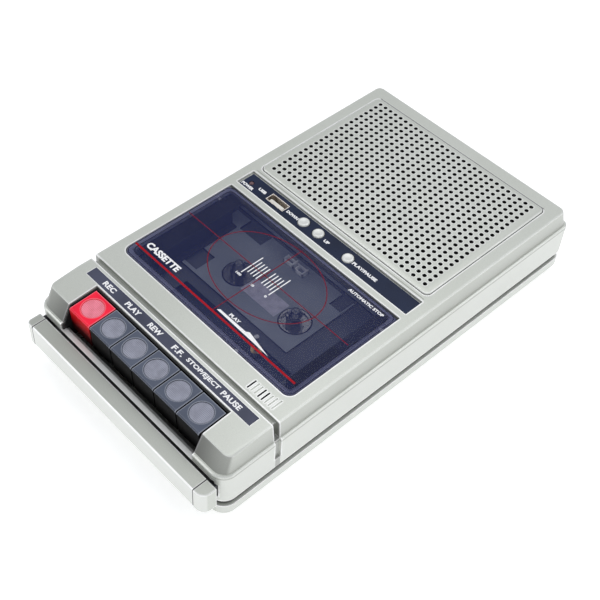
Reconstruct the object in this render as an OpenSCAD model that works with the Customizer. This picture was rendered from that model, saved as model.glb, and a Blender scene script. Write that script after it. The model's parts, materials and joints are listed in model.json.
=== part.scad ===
// Slim portable cassette recorder with piano keys, smoked cassette lid, speaker grille and pull-out handle.
// Millimetres, +Z up. Origin: middle of the footprint, at the surface that the rubber feet stand on.
// X runs along the row of keys, Y runs from the handle (front) to the speaker (back).

/* [Case] */
// Half of the width over the side walls
case_half_w = 71.2; // [71:0.1:71.3]
// Place of the back wall, behind the origin
case_back = 131.2; // [131:0.1:131.4]
// Height of the flat top deck above the table
deck_z = 46; // [45.9:0.1:46.1]
// Radius of the case's upright corners at the front
corner_r = 8; // [7:0.5:9]
// Radius of the case's upright corners at the back
back_r = 4.5; // [4.3:0.1:5]
// Height of the rubber feet
foot_h = 2.5; // [2.3:0.1:2.6]

/* [Keys] */
// Distance from one key to the next
key_pitch = 16.55; // [16.5:0.05:16.6]
// Width of one key cap
key_w = 15.7; // [15.2:0.1:15.8]
// Radius of the finger disc let into each key
disc_r = 6.1; // [5:0.1:6.5]
// Radius of the shaft that the keys turn on
key_shaft_r = 1.5; // [1.3:0.1:1.5]

/* [Cassette bay] */
// Distance between the two reel spindles
reel_pitch = 42.5; // [42.4:0.1:42.6]
// Width of a compact cassette
cassette_w = 100.4; // [100:0.1:100.6]
// Travel of the head plate from stop to play
head_travel = 6; // [5:0.5:6]

/* [Speaker] */
// Distance between neighbouring grille holes
hole_pitch = 4; // [3.9:0.05:4]
// Grille hole radius
hole_r = 1; // [0.8:0.05:1.1]
// Outer radius of the loudspeaker
speaker_r = 35; // [33:0.5:35]

/* [Handle] */
// Depth of the handle bar, front to back
handle_d = 8.6; // [8.4:0.1:8.8]
// Height of the handle bar
handle_h = 14.3; // [13:0.1:14.3]

/* [Hidden] */
$fn = 48;

// Heights of the case, from the table up
floor_z = foot_h;                   // underside of the bottom case
inner_floor_z = floor_z + 2.5;      // inside of the bottom case
rim_z = 10.2;                       // top edge of the bottom case's outer wall
seam_z = 14.6;                      // lower edge of the top case
bead_z = 33.4;                      // bead that runs round the top case
flank_z = 34.6;                     // foot of the sloping flank above the bead
deck_under_z = deck_z - 2.5;        // underside of the top deck
baffle_z = 41.8;                    // underside of the plate that carries the speaker
wall_t = 2.6;                       // thickness of the top case's walls

// Plan of the case, front to back
case_front = -118.9;                // front of the bead and of the lower wall
groove_front = -85.9;               // groove between key deck and cassette deck
groove_back = -82.7;
groove_z = deck_z - 2.2;            // bottom of that groove
crease_y = -94.2;                   // key deck slopes down from here to the front
deck_front = -112.6;                // front edge of the key deck
deck_front_z = deck_z - 1.2;
flank_in = 1.3;                     // the flank's foot stands this far inside the bead
flank_half_w = case_half_w - flank_in;
deck_half_w = case_half_w - 1.8;    // top edge of the cassette and speaker deck
deck_back = case_back - 4.8;
key_deck_half_w = case_half_w - 2.5;

// Key bay and keys
bay_left = -51.5;
bay_right = 50.15;
bay_back = -95;
bay_sill_z = 30;                    // top of the front wall under the keys
sill_depth = 4.6;
sill_r = 7;
bezel_t = 0.8;
first_key_x = -41.75;               // centre of the REC key
key_back = -97;
key_front = -113.6;
key_top_back_z = 45;
key_top_front_z = 44.2;
key_bottom_z = 28.8;
key_mid_y = (key_back + key_front) / 2 + 0.3;
key_slope = atan2(key_top_back_z - key_top_front_z, key_back - key_front);
lever_top_z = 28.4;
lever_low_z = 23.5;
key_pivot = [-79, 26];              // Y and Z of the shaft
key_hub_r = 3.8;

// Cassette bay: a compact cassette lies centred on cassette_x with its tape edge to the front
cassette_x = 2;
bay_mid_x = -0.2;                   // centre of the lid and its opening
lid_half_w = 62.1;
lid_front = -70;
lid_back = 2.9;
lid_gap = 0.6;
lid_top_z = deck_z + 0.4;
lid_under_z = 44.6;
lid_rim_z = 43.6;
well_z = 31.6;                      // underside of the cassette well
well_floor_z = 32.8;
well_step_z = 34;                   // raised part of the well's floor
hinge = [-6, 41.8];                 // Y and Z of the lid's hinge
hinge_pin_r = 1.2;
reel_y = -29.2;
supply_x = cassette_x - reel_pitch / 2;
takeup_x = cassette_x + reel_pitch / 2;
holder_wall = 1.2;
holder_in = cassette_w / 2 + 0.4;   // half of the space between the holder's side walls

// Tape mechanism
chassis_z = 28.8;
chassis_top_z = 30;
capstan = [takeup_x, -55.2];
capstan_r = 1.25;
running_gap = 0.05;                 // radial clearance of a shaft in its bearing
flywheel_r = 22;
belt_z = 10;                        // middle of the drive belt
belt_groove_r = 21.2;
pulley_groove_r = 3.7;
motor_pos = [-38, -20];
motor_r = 16;
plate_z = 30.35;                    // underside of the head plate
plate_top_z = 31.25;
plate_back = -65.2;
stud_y = -68.4;                     // guide studs of the head plate
stud_x = [-25, 43];
roller_pos = [takeup_x, -68.35];
roller_r = 5.5;
pinch_pivot = [37.5, -71];

// Control strip
strip_z = 44.2;
strip_top_z = 45.7;
board_z = 38.4;
board_top_z = 40;
button_r = 3.3;
button_pos = [[-16.45, 13.7], [-5.45, 13.75], [17.2, 13]];
led_pos = [-56.85, 13];
usb = [-36.3, 13.4];
usb_w = 13.2;
usb_d = 5.8;

// Speaker and its grille
grille_x = -0.1;
grille_half_w = 61.7;
grille_front = 24.3;
grille_back = 117.4;
grille_z = 44.2;
grille_top_z = 46.8;
hole_cols = 29;
hole_rows = 22;
hole_mid = [-0.45, 71.25];
speaker_pos = [-26, 66];

// Side and rear fittings
wheel_pos = [-60.6, 46];
wheel_r = 10.3;
wheel_z = 18;
wheel_top_z = 22;
jack_y = [12, 24];
jack_z = 20;
jack_r = 1.8;
jack_face_x = 0.5 - case_half_w;
inlet_x = -12;
inlet_z = 24;
inlet_back = case_back - 0.7;       // outer face of the mains inlet
main_board_z = 8.6;
main_board_top_z = 10.2;

// Battery box for four C cells, and its door
box_x = [11.2, 64.6];
box_y = [14.5, 119];
box_top_z = 31.6;
door_x = [13.3, 62.1];
door_y = [17.3, 115.2];
door_axis_z = floor_z + 1.1;
door_pin_r = 0.9;

// Handle
handle_back = case_front - 1.4;
handle_front = handle_back - handle_d;
handle_z = 15.7;
bar_half_w = 62.6;
cap_end = [67.5, 69.5];             // outer ends of the left and the right cap
cap_nose_r = [2.5, 5];              // radius of each cap's front corner
arm_x = [63.2, 66.8];
arm_z = [18.5, 27.5];
arm_back = -54.5;

boss_pos = [[-58, -104], [58, -104], [60, 9], [-62, 105], [5, 119]];
screw_head_z = 7.5;
post_pos = [[-56, -66], [56, -66], [-56, -2], [56, -2]];
foot_pos = [[-52, -88], [52, -88], [-59, 120.2], [59, 120.2]];
foot_r = 4.4;

case_colour = "#c8ccc3";
dark_colour = "#2b2d33";
slate_colour = "#555c6e";
navy_colour = "#1b2440";
metal_colour = "#b9bcc0";

// ---- Shared shapes ----

// Block given by its two corners
module block(x0, x1, y0, y1, z0, z1) {
    translate([x0, y0, z0]) cube([x1 - x0, y1 - y0, z1 - z0]);
}

// Upright round bar
module bar(pos, r, z0, z1) {
    translate([pos[0], pos[1], z0]) cylinder(r = r, h = z1 - z0);
}

// Round bar along X at a Y, Z place
module cross_bar(pos, r, x0, x1) {
    translate([x0, pos[0], pos[1]]) rotate([0, 90, 0]) cylinder(r = r, h = x1 - x0);
}

// Outline of the case in plan, with its own corner radius at the front and at the back
module outline(half_w, y0, y1, r_front, r_back) {
    translate([-half_w, y0 + r_front]) square([2 * half_w, y1 - y0 - r_front - r_back]);
    if (r_front > 0) {
        translate([r_front - half_w, y0]) square([2 * (half_w - r_front), 2 * r_front]);
        for (side = [-1, 1]) translate([side * (half_w - r_front), y0 + r_front]) circle(r_front);
    }
    if (r_back > 0) {
        translate([r_back - half_w, y1 - 2 * r_back]) square([2 * (half_w - r_back), 2 * r_back]);
        for (side = [-1, 1]) translate([side * (half_w - r_back), y1 - r_back]) circle(r_back);
    }
}

// Outline of the case walls, moved inwards
module inset_outline(d) {
    outline(case_half_w - d, case_front + d, case_back - d, corner_r - d, back_r - d);
}

// Slice of the case outline, for hulls
module slice(z, half_w, y0, y1, r_front, r_back) {
    translate([0, 0, z - 0.02]) linear_extrude(0.02)
        outline(half_w, y0, y1, r_front, r_back, $fn = 32);
}

// Prism whose Y-Z profile is drawn as children and runs from x0 to x1
module along_x(x0, x1) {
    translate([x0, 0, 0]) rotate([90, 0, 90]) linear_extrude(x1 - x0) children();
}

// Slot with round ends, along Y
module slot_y(x, y0, y1, r, z0, z1) {
    bar([x, y0], r, z0, z1);
    bar([x, y1], r, z0, z1);
    block(x - r, x + r, y0, y1, z0, z1);
}

// ---- Case ----

// Sloping upper block under the cassette and speaker deck, with its top edge rounded
module rear_block() {
    hull() {
        slice(flank_z, flank_half_w, groove_back, case_back - flank_in, 0, back_r - 0.5);
        slice(deck_z - 1.1, deck_half_w, groove_back, deck_back, 0, 3.6);
        slice(deck_z - 0.3, deck_half_w - 0.3, groove_back, deck_back - 0.3, 0, 3.3);
        slice(deck_z, deck_half_w - 0.9, groove_back, deck_back - 0.9, 0, 2.7);
    }
}

// Sloping upper block of the key deck, which falls slightly towards the front
module front_block() {
    hull() {
        slice(flank_z, flank_half_w, case_front + 1.5, groove_front, 6.7, 0);
        slice(deck_z - 1.1, key_deck_half_w, crease_y, groove_front, 0, 0);
        slice(deck_z - 0.3, key_deck_half_w - 0.3, crease_y, groove_front, 0, 0);
        slice(deck_z, key_deck_half_w - 0.9, crease_y, groove_front, 0, 0);
        slice(deck_front_z - 0.9, key_deck_half_w, deck_front, -105, 4, 0);
        slice(deck_front_z - 0.3, key_deck_half_w - 0.3, deck_front + 0.3, -105, 3.7, 0);
        slice(deck_front_z, key_deck_half_w - 0.9, deck_front + 0.9, -105, 3.1, 0);
    }
}

module bead() {
    hull() {
        slice(bead_z + 0.02, case_half_w, case_front, case_back, corner_r, back_r);
        slice(bead_z + 0.8, case_half_w - 0.2, case_front + 0.2, case_back - 0.2,
            corner_r - 0.2, back_r - 0.2);
        slice(flank_z, case_half_w - 0.8, case_front + 0.8, case_back - 0.8,
            corner_r - 0.8, back_r - 0.8);
    }
}

module case_cavity() {
    translate([0, 0, seam_z - 1]) linear_extrude(flank_z - seam_z + 0.4)
        outline(case_half_w - wall_t, case_front + wall_t, case_back - wall_t, 5.5, back_r - wall_t);
    translate([0, 0, flank_z - 0.7]) linear_extrude(deck_under_z - flank_z + 0.7)
        outline(deck_half_w - 2.4, -80.2, deck_back - 2.2, 0, 4);
    block(-64.5, 64.5, -87.6, -80.1, flank_z - 0.7, baffle_z);
    along_x(-65.6, 65.6) polygon([[-113.6, flank_z - 0.7], [-110.4, 42], [crease_y, deck_under_z],
        [-87.5, deck_under_z], [-87.5, flank_z - 0.7]]);
}

// Everything that is cut through the deck and the walls
module case_openings() {
    block(bay_left, bay_right, case_front - 1, bay_back, bay_sill_z, deck_z + 2);
    translate([bay_mid_x, 0, baffle_z]) linear_extrude(6)
        outline(lid_half_w + lid_gap, lid_front - lid_gap, lid_back + 0.9, 4.6, 0);
    block(-63, 62.6, 7.8, 20.2, strip_z, deck_z + 1);
    block(-50, 24, 9.2, 17.4, deck_under_z - 1, strip_z + 1);
    bar(led_pos, 1.8, deck_under_z - 1, strip_z + 1);
    translate([grille_x, 0, grille_z - 0.4]) linear_extrude(4)
        outline(grille_half_w + 0.3, grille_front - 0.4, grille_back + 0.4, 3.2, 3.2);
    bar(speaker_pos, speaker_r - 4, baffle_z - 1, deck_z);
    block(-61.5, 61.5, crease_y, -87.9, deck_z - 0.3, deck_z + 1);
    for (i = [0:7]) {
        through = i == 0 || i == 3 || i == 4;
        slot_y(44.7 + 2.35 * i, -80.2 + 0.2 * i / 7, -75 + 1.1 * max(0, i - 5) / 2, 0.45,
            through ? deck_under_z - 1 : deck_z - 0.5, deck_z + 1);
    }
    for (side = [-1, 1]) {
        translate([side * 65, 0, 0]) block(-2.2, 2.2, case_front - 1, case_front + 7, 18.1, 27.9);
        translate([side * case_half_w, 0, 0]) block(-1.2, 1, -86.2, -82.5, 21, flank_z + 0.1);
    }
    block(-72, -67.5, wheel_pos[1] - 7.6, wheel_pos[1] + 7.6, wheel_z - 0.5, wheel_top_z + 0.5);
    block(-72, 1.2 - case_half_w, wheel_pos[1] - 11, wheel_pos[1] + 11, wheel_z - 2, wheel_top_z + 2);
    block(-72, -67.5, jack_y[0] - 5.2, jack_y[1] + 5.2, jack_z - 4.6, jack_z + 4.6);
    block(inlet_x - 10.3, inlet_x + 10.3, case_back - 4, case_back + 1, inlet_z - 6.3, inlet_z + 6.3);
}

module top_case() {
    color(case_colour) difference() {
        union() {
            difference() {
                union() {
                    rear_block();
                    front_block();
                    bead();
                    block(-66.8, 66.8, groove_front - 0.5, groove_back + 0.5, flank_z - 1, groove_z);
                    translate([0, 0, seam_z]) linear_extrude(bead_z - seam_z)
                        outline(case_half_w, case_front, case_back, corner_r, back_r);
                }
                case_cavity();
            }
            block(-62.8, 62.6, 22.4, 119, baffle_z, deck_under_z + 0.1);
            // sill in front of the keys, which rolls down towards the inside
            along_x(bay_left, bay_right) intersection() {
                translate([case_front + 0.2, bay_sill_z - 5]) square([sill_depth - 0.2, 5]);
                translate([case_front, bay_sill_z - sill_r]) circle(sill_r);
            }
            for (p = boss_pos) bar(p, 3.2, 11.7, p[1] < 0 ? 42.6 : deck_under_z + 0.1);
            for (x = [-47, 26]) bar([x, 18.8], 0.8, board_top_z, deck_under_z + 0.1);
        }
        case_openings();
        for (p = boss_pos) bar(p, 1.5, 11, 24);
    }
}

module bottom_case() {
    color(case_colour) difference() {
        union() {
            difference() {
                union() {
                    hull() {
                        slice(floor_z + 0.02, case_half_w - 1.3, case_front + 1.3, case_back - 1.3,
                            corner_r - 1.3, back_r - 1.3);
                        slice(4.22, case_half_w, case_front, case_back, corner_r, back_r);
                    }
                    translate([0, 0, 4.2]) linear_extrude(rim_z - 4.2)
                        outline(case_half_w, case_front, case_back, corner_r, back_r);
                    translate([0, 0, rim_z]) linear_extrude(4.2) inset_outline(1.5);
                    translate([0, 0, 14.3]) linear_extrude(3.2) inset_outline(2.8);
                }
                translate([0, 0, inner_floor_z]) linear_extrude(5.3) inset_outline(2.5);
                translate([0, 0, rim_z]) linear_extrude(8) inset_outline(4.1);
                block(-69, -66, 4, 58, 14.4, 18);
            }
            for (p = post_pos) bar(p, 3, inner_floor_z - 0.1, chassis_z);
            for (p = boss_pos) bar(p, 4.2, inner_floor_z - 0.1, 11.6);
            for (x = [-61, 3], y = [9, 95]) bar([x, y], 2.5, inner_floor_z - 0.1, main_board_z);
            difference() {
                block(box_x[0] - 1.4, box_x[1] + 1.4, box_y[0] - 1.4, box_y[1] + 1.4,
                    inner_floor_z - 0.1, box_top_z + 1.4);
                block(box_x[0], box_x[1], box_y[0], box_y[1], inner_floor_z - 1, box_top_z);
            }
        }
        block(door_x[0] - 0.3, door_x[1] + 1.2, door_y[0] - 0.3, door_y[1] + 0.3, 0, inner_floor_z);
        translate([door_x[1], door_y[0] - 1.8, door_axis_z]) rotate([-90, 0, 0])
            cylinder(r = door_pin_r + 0.07, h = door_y[1] - door_y[0] + 3.6);
        for (p = boss_pos) {
            bar(p, 3.1, 0, screw_head_z);
            bar(p, 1.7, screw_head_z - 0.1, 12);
        }
    }
}

module speaker_grille() {
    color(case_colour) {
        translate([0, 0, grille_top_z - 1.8]) linear_extrude(1.8) difference() {
            translate([grille_x, 0]) outline(grille_half_w, grille_front, grille_back, 3, 3);
            for (i = [0:hole_cols - 1], j = [0:hole_rows - 1])
                translate([hole_mid[0] + (i - (hole_cols - 1) / 2) * hole_pitch,
                    hole_mid[1] + (j - (hole_rows - 1) / 2) * hole_pitch]) circle(hole_r);
        }
        translate([grille_x, 0, grille_z]) linear_extrude(grille_top_z - 1.8 - grille_z) difference() {
            outline(grille_half_w, grille_front, grille_back, 3, 3);
            outline(grille_half_w - 2, grille_front + 2, grille_back - 2, 1, 1);
        }
    }
}

module grille_cloth() {
    color("#17181a") block(-61, 60.8, 25, 116.7, grille_z - 0.4, grille_z);
}

module control_panel() {
    color(navy_colour) difference() {
        block(-61.4, 62.4, 8, 18.7, strip_z, strip_top_z);
        for (p = button_pos) bar(p, button_r + 0.3, strip_z - 1, deck_z + 1);
        bar(led_pos, 1.6, strip_z - 1, deck_z + 1);
        translate([usb[0], usb[1], 0])
            block(-usb_w / 2 - 0.1, usb_w / 2 + 0.1, -usb_d / 2 - 0.1, usb_d / 2 + 0.1, 40, 48);
    }
}

module key_label_strip() {
    color(slate_colour) block(-61.4, 61.4, crease_y, -88, deck_z - 0.3, deck_z + 0.1);
}

// Black liner round the key bay
module key_bezel() {
    module cheek(x0) {
        along_x(x0, x0 + bezel_t) polygon([[bay_back, 22], [bay_back, 44.4], [-111.4, 44],
            [-112.2, 43], [-116.4, 34.2], [-118, 33.2], [-118, bay_sill_z + 0.2],
            [-114, bay_sill_z + 0.2], [-114, 22]]);
    }
    color(dark_colour) {
        cheek(bay_left);
        cheek(bay_right - bezel_t);
        block(bay_left, bay_right, bay_back - bezel_t, bay_back, 33, 44.4);
    }
}

module rubber_feet() {
    color("#222222") for (p = foot_pos) {
        bar(p, foot_r, 0.6, foot_h);
        translate([p[0], p[1], 0]) cylinder(r1 = foot_r - 0.6, r2 = foot_r, h = 0.6);
    }
}

module case_screws() {
    color(metal_colour) for (p = boss_pos) difference() {
        union() {
            bar(p, 2.8, screw_head_z - 2, screw_head_z);
            bar(p, 1.4, screw_head_z, 20);
        }
        for (turn = [0, 90]) translate([p[0], p[1], screw_head_z - 2]) rotate(turn)
            cube([3.2, 0.7, 2], center = true);
    }
}

module battery_door() {
    color(case_colour) difference() {
        union() {
            block(door_x[0], door_x[1], door_y[0], door_y[1], door_axis_z - door_pin_r,
                door_axis_z + door_pin_r);
            translate([door_x[1], door_y[0] - 1.5, door_axis_z]) rotate([-90, 0, 0])
                cylinder(r = door_pin_r, h = door_y[1] - door_y[0] + 3);
        }
        // finger ribs near the free edge
        for (i = [0:4]) block(16 + 1.8 * i, 16.9 + 1.8 * i, 56, 76, 0, door_axis_z - door_pin_r + 0.4);
    }
}

module battery_contacts() {
    color(metal_colour) for (x = [25, 51]) {
        block(x - 7, x + 7, box_y[0], box_y[0] + 0.5, 10, 26);
        translate([x, box_y[0] + 0.5, 18]) rotate([-90, 0, 0]) cylinder(r1 = 5, r2 = 2.5, h = 4.5);
        block(x - 7, x + 7, box_y[1] - 0.5, box_y[1], 10, 26);
        translate([x, box_y[1] - 0.5, 18]) rotate([90, 0, 0]) cylinder(r1 = 3.4, r2 = 3, h = 1.2);
    }
}

// ---- Handle ----

module handle_bar() {
    edge_r = 1.2;
    color(case_colour) along_x(-bar_half_w, bar_half_w) {
        translate([handle_front + edge_r, handle_z]) square([handle_d - edge_r, handle_h]);
        translate([handle_front, handle_z + edge_r]) square([2 * edge_r, handle_h - 2 * edge_r]);
        for (z = [handle_z + edge_r, handle_z + handle_h - edge_r])
            translate([handle_front + edge_r, z]) circle(edge_r);
    }
}

// End cap of the handle: index 0 is the left one, 1 the right one
module handle_cap(index) {
    nose_r = cap_nose_r[index];
    length = cap_end[index] - bar_half_w;
    color(case_colour) mirror([1 - index, 0, 0])
        translate([bar_half_w, handle_front, handle_z]) linear_extrude(handle_h) {
            translate([0, nose_r]) square([length, handle_d - nose_r]);
            intersection() {
                square([length, nose_r + 0.1]);
                union() {
                    square([max(0.1, length - nose_r), nose_r + 0.1]);
                    translate([length - nose_r, nose_r]) circle(nose_r);
                }
            }
        }
}

// Flat arms that slide inside the case, with a stop block at the inner end
module handle_arms() {
    color(dark_colour) for (side = [0, 1]) mirror([side, 0, 0]) {
        block(arm_x[0], arm_x[1], handle_back, arm_back, arm_z[0], arm_z[1]);
        block(62, 67.4, arm_back - 3, arm_back, arm_z[0], arm_z[1]);
    }
}

module handle_guides() {
    color(dark_colour) for (side = [0, 1]) mirror([side, 0, 0]) difference() {
        union() {
            block(62, 67.9, -110.5, -98, 17.6, 29.4);
            block(63.5, 66.4, -109, -100, inner_floor_z, 17.7);
        }
        block(62.9, 67.1, -115, -97, arm_z[0] - 0.3, arm_z[1] + 0.3);
    }
}

// ---- Cassette lid and bay ----

// Smoked clear lid: a plate with a thicker rim at the front and sides
module lid_window() {
    color("#39405c", 0.55) difference() {
        translate([bay_mid_x, 0, 0]) {
            translate([0, 0, lid_under_z]) linear_extrude(lid_top_z - lid_under_z)
                outline(lid_half_w, lid_front, lid_back, 4, 0);
            translate([0, 0, lid_rim_z]) linear_extrude(lid_under_z - lid_rim_z) difference() {
                outline(lid_half_w, lid_front, lid_back, 4, 0);
                translate([0, 0.01]) outline(lid_half_w - 3, lid_front + 3.5, lid_back, 2, 0);
            }
        }
        along_x(-70, 70) polygon([[lid_back - 1.4, lid_top_z + 0.01], [lid_back + 1, lid_top_z + 0.01],
            [lid_back + 1, lid_top_z - 2.41]]);
    }
}

// Carrier that holds the cassette by its ends and swings with the lid
module cassette_holder() {
    module rail(side) {
        outer = side * (side > 0 ? 58.4 - cassette_x : 58.8 + cassette_x);
        wall_in = side * holder_in;
        wall_out = side * (holder_in + holder_wall);
        lip_in = side * (holder_in - 3.6);
        block(min(wall_in, wall_out), max(wall_in, wall_out), -63, -8, 34.4, lid_under_z);
        block(min(wall_in, lip_in), max(wall_in, lip_in), -63, -8, 34.4, 35.2);
        block(min(wall_in, outer), max(wall_in, outer), -63, 1.8, 43.8, lid_under_z);
        ear_in = outer - side * 2;
        difference() {
            union() {
                cross_bar(hinge, 2.4, min(outer, ear_in), max(outer, ear_in));
                block(min(outer, ear_in), max(outer, ear_in), hinge[0] - 2.4, hinge[0] + 2.4,
                    hinge[1], lid_under_z);
            }
            cross_bar(hinge, hinge_pin_r + running_gap, min(outer, ear_in) - 1, max(outer, ear_in) + 1);
        }
    }
    color(dark_colour) translate([cassette_x, 0, 0]) {
        rail(-1);
        rail(1);
        block(-58.8 - cassette_x, 58.4 - cassette_x, -1, 1.8, lid_rim_z, lid_under_z);
    }
}

module lid_hinge_pins() {
    color(metal_colour) {
        cross_bar(hinge, hinge_pin_r, -64, -56.6);
        cross_bar(hinge, hinge_pin_r, 56.2, 63.6);
    }
}

module lid_latch() {
    color("#e6e4da") {
        block(-57, -53, -75.2, -73.6, chassis_top_z + 0.3, 42);
        block(-56, -54, -73.7, -71, 38, 40);
    }
}

// Tray under the lid, with a raised floor round the spindles and an opening for the heads
module cassette_well() {
    color("#3a3e4a") difference() {
        union() {
            difference() {
                translate([bay_mid_x, 0, well_z]) linear_extrude(deck_under_z - well_z)
                    outline(lid_half_w + lid_gap + 1.2, lid_front - lid_gap - 1.2, 5, 5.8, 0);
                translate([bay_mid_x, 0, well_floor_z]) linear_extrude(20)
                    outline(lid_half_w + lid_gap, lid_front - lid_gap, lid_back + 0.9, 4.6, 0);
            }
            block(-55, 35, -46, 1.5, well_floor_z - 0.1, well_step_z);
            for (x = [-56, 56], y = [-60, -2]) bar([x, y], 2.5, chassis_top_z, well_z + 0.1);
        }
        for (x = [supply_x, takeup_x]) bar([x, reel_y], 8.9, well_z - 1, well_step_z + 1);
        block(-34, 46, -73, -52, well_z - 1, deck_z);
        block(-57.5, -52.5, -73, -70, 37, 41);
        block(-46, -36, -44, -31, well_floor_z, well_step_z + 1);
        block(-44, -27, -7, 1.6, well_floor_z, well_step_z + 1);
        block(26, 34, -8, 1.6, well_floor_z, well_step_z + 1);
        cross_bar(hinge, hinge_pin_r + 0.02, -65, 65);
    }
}

// ---- Tape mechanism ----

module chassis_plate() {
    color(metal_colour) difference() {
        union() {
            block(-60, 60, -70, 2, chassis_z, chassis_top_z);
            for (side = [0, 1]) mirror([side, 0, 0]) {
                block(54, 57.2, -84, -69.9, chassis_z, chassis_top_z);
                block(54, 55.2, -84, -69.9, 22, chassis_z + 0.1);
            }
            for (x = stud_x) bar([x, stud_y], 1.2, chassis_top_z - 0.1, 31.8);
        }
        bar(capstan, 3.02, chassis_z - 1, chassis_top_z + 1);
        for (x = [supply_x, takeup_x])
            bar([x, reel_y], 1.5 + running_gap, chassis_z - 1, chassis_top_z + 1);
        cross_bar(key_pivot, key_shaft_r + 0.02, -58, 58);
    }
}

// Reel spindle: table, round core with three drive splines, domed tip, shaft
module spindle(x) {
    translate([x, reel_y, 0]) {
        difference() {
            union() {
                translate([0, 0, chassis_top_z + 0.5]) cylinder(r = 8.2, h = 3.7);
                translate([0, 0, 34]) cylinder(r = 3.6, h = 6);
            }
            translate([0, 0, 33.4]) difference() {
                cylinder(r = 7, h = 2);
                cylinder(r = 5.2, h = 2);
            }
        }
        for (turn = [0, 120, 240]) rotate(turn) translate([0, -0.7, 34]) cube([4.6, 1.4, 5.6]);
        translate([0, 0, 40]) cylinder(r1 = 3.6, r2 = 2.4, h = 2);
        intersection() {
            translate([0, 0, 41.1]) sphere(2.55);
            translate([0, 0, 41.9]) cylinder(r = 3, h = 3);
        }
        translate([0, 0, 26]) cylinder(r = 1.5, h = 5);
    }
}

module supply_spindle() { color(dark_colour) spindle(supply_x); }
module takeup_spindle() { color(dark_colour) spindle(takeup_x); }

module capstan_bearing() {
    color("#b08d57") difference() {
        bar(capstan, 3, 26.5, 33);
        bar(capstan, capstan_r + running_gap, 26, 34);
    }
}

module capstan_shaft() {
    color(metal_colour) bar(capstan, capstan_r, 6.5, 43);
}

module flywheel() {
    color(metal_colour) translate([capstan[0], capstan[1], 0]) rotate_extrude()
        polygon([[capstan_r, 8], [flywheel_r, 8], [flywheel_r, belt_z - 1], [belt_groove_r, belt_z - 1],
            [belt_groove_r, belt_z + 1], [flywheel_r, belt_z + 1], [flywheel_r, 14], [16, 14],
            [14, 12], [8, 12], [6, 14], [5, 14], [5, 22], [capstan_r, 22]]);
}

module motor() {
    color(metal_colour) difference() {
        union() {
            bar(motor_pos, motor_r, 14, chassis_z);
            bar(motor_pos, 5, 12.8, 14.1);
        }
        bar(motor_pos, 1 + running_gap, 12, 20);
    }
}

module motor_pulley() {
    color("#b08d57") translate([motor_pos[0], motor_pos[1], 0]) {
        rotate_extrude() polygon([[0, 8.2], [4.7, 8.2], [4.7, belt_z - 1], [pulley_groove_r, belt_z - 1],
            [pulley_groove_r, belt_z + 1], [4.7, belt_z + 1], [4.7, 11.8], [0, 11.8]]);
        translate([0, 0, 11.7]) cylinder(r = 1, h = 7.6);
    }
}

module drive_belt() {
    module loop(extra) {
        hull() {
            translate(motor_pos) circle(pulley_groove_r + 0.35 + extra);
            translate(capstan) circle(belt_groove_r + 0.35 + extra);
        }
    }
    color("#1c1c1c") translate([0, 0, belt_z - 0.6]) linear_extrude(1.2) difference() {
        loop(1, $fn = 72);
        loop(0, $fn = 72);
    }
}

module head_plate() {
    color(metal_colour) {
        difference() {
            block(-34, 46, -77, plate_back, plate_z, plate_top_z);
            for (x = stud_x) slot_y(x, stud_y - head_travel, stud_y, 1.5, plate_z - 1, plate_top_z + 1);
        }
        bar(pinch_pivot, 1.2, plate_top_z - 0.1, 34);
    }
}

module playback_head() {
    color("#8d9095") intersection() {
        bar([cassette_x, -72.6], 8, plate_top_z, 42.6);
        block(cassette_x - 6.2, cassette_x + 6.2, -74.5, -60, plate_top_z, 42.6);
    }
}

module erase_head() {
    color("#d8d2c4") block(-17.5, -10.5, -72, -65, plate_top_z, 41);
}

module pinch_arm() {
    reach = norm(roller_pos - pinch_pivot);
    heading = atan2(roller_pos[1] - pinch_pivot[1], roller_pos[0] - pinch_pivot[0]);
    color(metal_colour) difference() {
        translate([pinch_pivot[0], pinch_pivot[1], 0]) rotate(heading) {
            translate([0, 0, 32]) {
                cylinder(r = 3, h = 1.4);
                translate([0, -2.5, 0]) cube([reach, 5, 1.4]);
                translate([reach, 0, 0]) cylinder(r = 3, h = 1.4);
            }
            translate([reach, 0, 33.3]) cylinder(r = 1.8, h = 0.9);
            translate([reach, 0, 33.3]) cylinder(r = 1, h = 9.7);
        }
        bar(pinch_pivot, 1.2 + running_gap, 31, 35);
    }
}

module pinch_roller() {
    color("#1f1f1f") difference() {
        bar(roller_pos, roller_r, 34.6, 42.4);
        bar(roller_pos, 1 + running_gap, 34, 43);
    }
}

// ---- Piano keys ----

// Height of the key's top face at a given Y
function key_top_z(y) = key_top_back_z
    - (key_top_back_z - key_top_front_z) * (key_back - y) / (key_back - key_front);

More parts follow.
